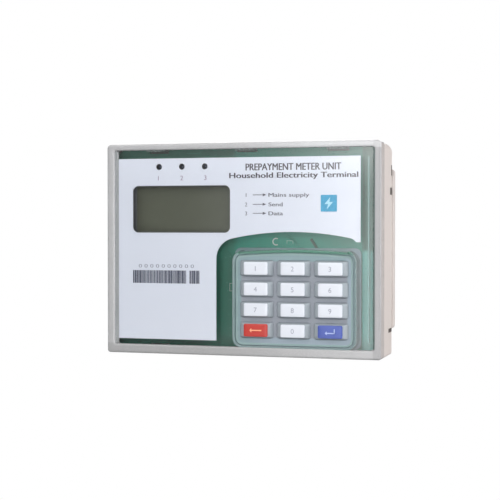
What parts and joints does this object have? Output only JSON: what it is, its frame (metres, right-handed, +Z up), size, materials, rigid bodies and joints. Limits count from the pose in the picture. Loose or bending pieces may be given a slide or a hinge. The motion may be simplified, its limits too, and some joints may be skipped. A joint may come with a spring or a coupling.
{
  "type": "prepaid electricity meter keypad and display unit",
  "caption": "Wall-mounted keypad and display unit of a prepaid electricity meter, with sprung keys, a clear cover and a lift-off wall bracket.",
  "frame": {"origin": "middle of the wall bracket's back face, where it meets the wall", "axes": "+X along the width, to the right of someone facing the unit; +Y into the wall; +Z up"},
  "size_m": [0.1486, 0.0372, 0.11],
  "materials": {
    "bracket_plastic": "fine moulded texture",
    "case_plastic": "fine moulded texture",
    "clear_cover": "clear moulded polycarbonate",
    "seal_rubber": "soft matt",
    "label_film": "printed polyester film, semi-gloss",
    "circuit_board": "green solder resist",
    "screw_steel": "bright zinc plate",
    "dark_plastic": "fine matt",
    "display_glass": "reflective display, switched off",
    "diffuser": "milky",
    "contact_rubber": "striped contact rubber",
    "light_lens": "smoked lens",
    "keypad_silicone": "translucent silicone, satin",
    "chip_epoxy": "moulded epoxy",
    "can_metal": "drawn metal can",
    "chip_ceramic": "fired ceramic",
    "sleeve_plastic": "shrink sleeve",
    "coil_wrap": "tape-wrapped coil",
    "terminal_plastic": "moulded polyamide",
    "cap_white": "glossy white cap",
    "cap_red": "glossy red cap",
    "cap_blue": "glossy blue cap",
    "carbon": "carbon-filled silicone"
  },
  "bodies": {
    "bracket": {"wall_bracket": "bracket_plastic"},
    "case": {"rear_base": "case_plastic", "front_cover": "clear_cover", "cover_gasket": "seal_rubber", "label_panel": "label_film", "main_pcb": "circuit_board", "pcb_screws": "screw_steel", "lcd_bezel": "dark_plastic", "lcd_glass": "display_glass", "lcd_backlight": "diffuser", "lcd_connector": "contact_rubber", "status_leds": "light_lens", "keypad_mat": "keypad_silicone", "microcontroller": "chip_epoxy", "crystal": "can_metal", "chip_parts": "chip_ceramic", "capacitors": "sleeve_plastic", "buzzer": "dark_plastic", "line_coupler": "coil_wrap", "battery_clip": "dark_plastic", "backup_battery": "can_metal", "terminal_block": "terminal_plastic", "terminal_screws": "screw_steel"},
    "keybody_1": {"key_1": "keypad_silicone", "cap_1": "cap_white", "contact_1": "carbon"},
    "keybody_2": {"key_2": "keypad_silicone", "cap_2": "cap_white", "contact_2": "carbon"},
    "keybody_3": {"key_3": "keypad_silicone", "cap_3": "cap_white", "contact_3": "carbon"},
    "keybody_4": {"key_4": "keypad_silicone", "cap_4": "cap_white", "contact_4": "carbon"},
    "keybody_5": {"key_5": "keypad_silicone", "cap_5": "cap_white", "contact_5": "carbon"},
    "keybody_6": {"key_6": "keypad_silicone", "cap_6": "cap_white", "contact_6": "carbon"},
    "keybody_7": {"key_7": "keypad_silicone", "cap_7": "cap_white", "contact_7": "carbon"},
    "keybody_8": {"key_8": "keypad_silicone", "cap_8": "cap_white", "contact_8": "carbon"},
    "keybody_9": {"key_9": "keypad_silicone", "cap_9": "cap_white", "contact_9": "carbon"},
    "keybody_clear": {"key_clear": "keypad_silicone", "cap_clear": "cap_red", "contact_clear": "carbon"},
    "keybody_0": {"key_0": "keypad_silicone", "cap_0": "cap_white", "contact_0": "carbon"},
    "keybody_enter": {"key_enter": "keypad_silicone", "cap_enter": "cap_blue", "contact_enter": "carbon"}
  },
  "joints": [
    {"name": "case_lift", "type": "slide", "parent": "bracket", "child": "case", "axis": [0, 0, 1], "range_m": [0, 0.01]},
    {"name": "press_1", "type": "slide", "parent": "case", "child": "keybody_1", "axis": [0, 1, 0], "range_m": [0, 0.0012], "stiffness_N_per_m": 700, "springref_m": -0.0004},
    {"name": "press_2", "type": "slide", "parent": "case", "child": "keybody_2", "axis": [0, 1, 0], "range_m": [0, 0.0012], "stiffness_N_per_m": 700, "springref_m": -0.0004},
    {"name": "press_3", "type": "slide", "parent": "case", "child": "keybody_3", "axis": [0, 1, 0], "range_m": [0, 0.0012], "stiffness_N_per_m": 700, "springref_m": -0.0004},
    {"name": "press_4", "type": "slide", "parent": "case", "child": "keybody_4", "axis": [0, 1, 0], "range_m": [0, 0.0012], "stiffness_N_per_m": 700, "springref_m": -0.0004},
    {"name": "press_5", "type": "slide", "parent": "case", "child": "keybody_5", "axis": [0, 1, 0], "range_m": [0, 0.0012], "stiffness_N_per_m": 700, "springref_m": -0.0004},
    {"name": "press_6", "type": "slide", "parent": "case", "child": "keybody_6", "axis": [0, 1, 0], "range_m": [0, 0.0012], "stiffness_N_per_m": 700, "springref_m": -0.0004},
    {"name": "press_7", "type": "slide", "parent": "case", "child": "keybody_7", "axis": [0, 1, 0], "range_m": [0, 0.0012], "stiffness_N_per_m": 700, "springref_m": -0.0004},
    {"name": "press_8", "type": "slide", "parent": "case", "child": "keybody_8", "axis": [0, 1, 0], "range_m": [0, 0.0012], "stiffness_N_per_m": 700, "springref_m": -0.0004},
    {"name": "press_9", "type": "slide", "parent": "case", "child": "keybody_9", "axis": [0, 1, 0], "range_m": [0, 0.0012], "stiffness_N_per_m": 700, "springref_m": -0.0004},
    {"name": "press_clear", "type": "slide", "parent": "case", "child": "keybody_clear", "axis": [0, 1, 0], "range_m": [0, 0.0012], "stiffness_N_per_m": 700, "springref_m": -0.0004},
    {"name": "press_0", "type": "slide", "parent": "case", "child": "keybody_0", "axis": [0, 1, 0], "range_m": [0, 0.0012], "stiffness_N_per_m": 700, "springref_m": -0.0004},
    {"name": "press_enter", "type": "slide", "parent": "case", "child": "keybody_enter", "axis": [0, 1, 0], "range_m": [0, 0.0012], "stiffness_N_per_m": 700, "springref_m": -0.0004}
  ]
}
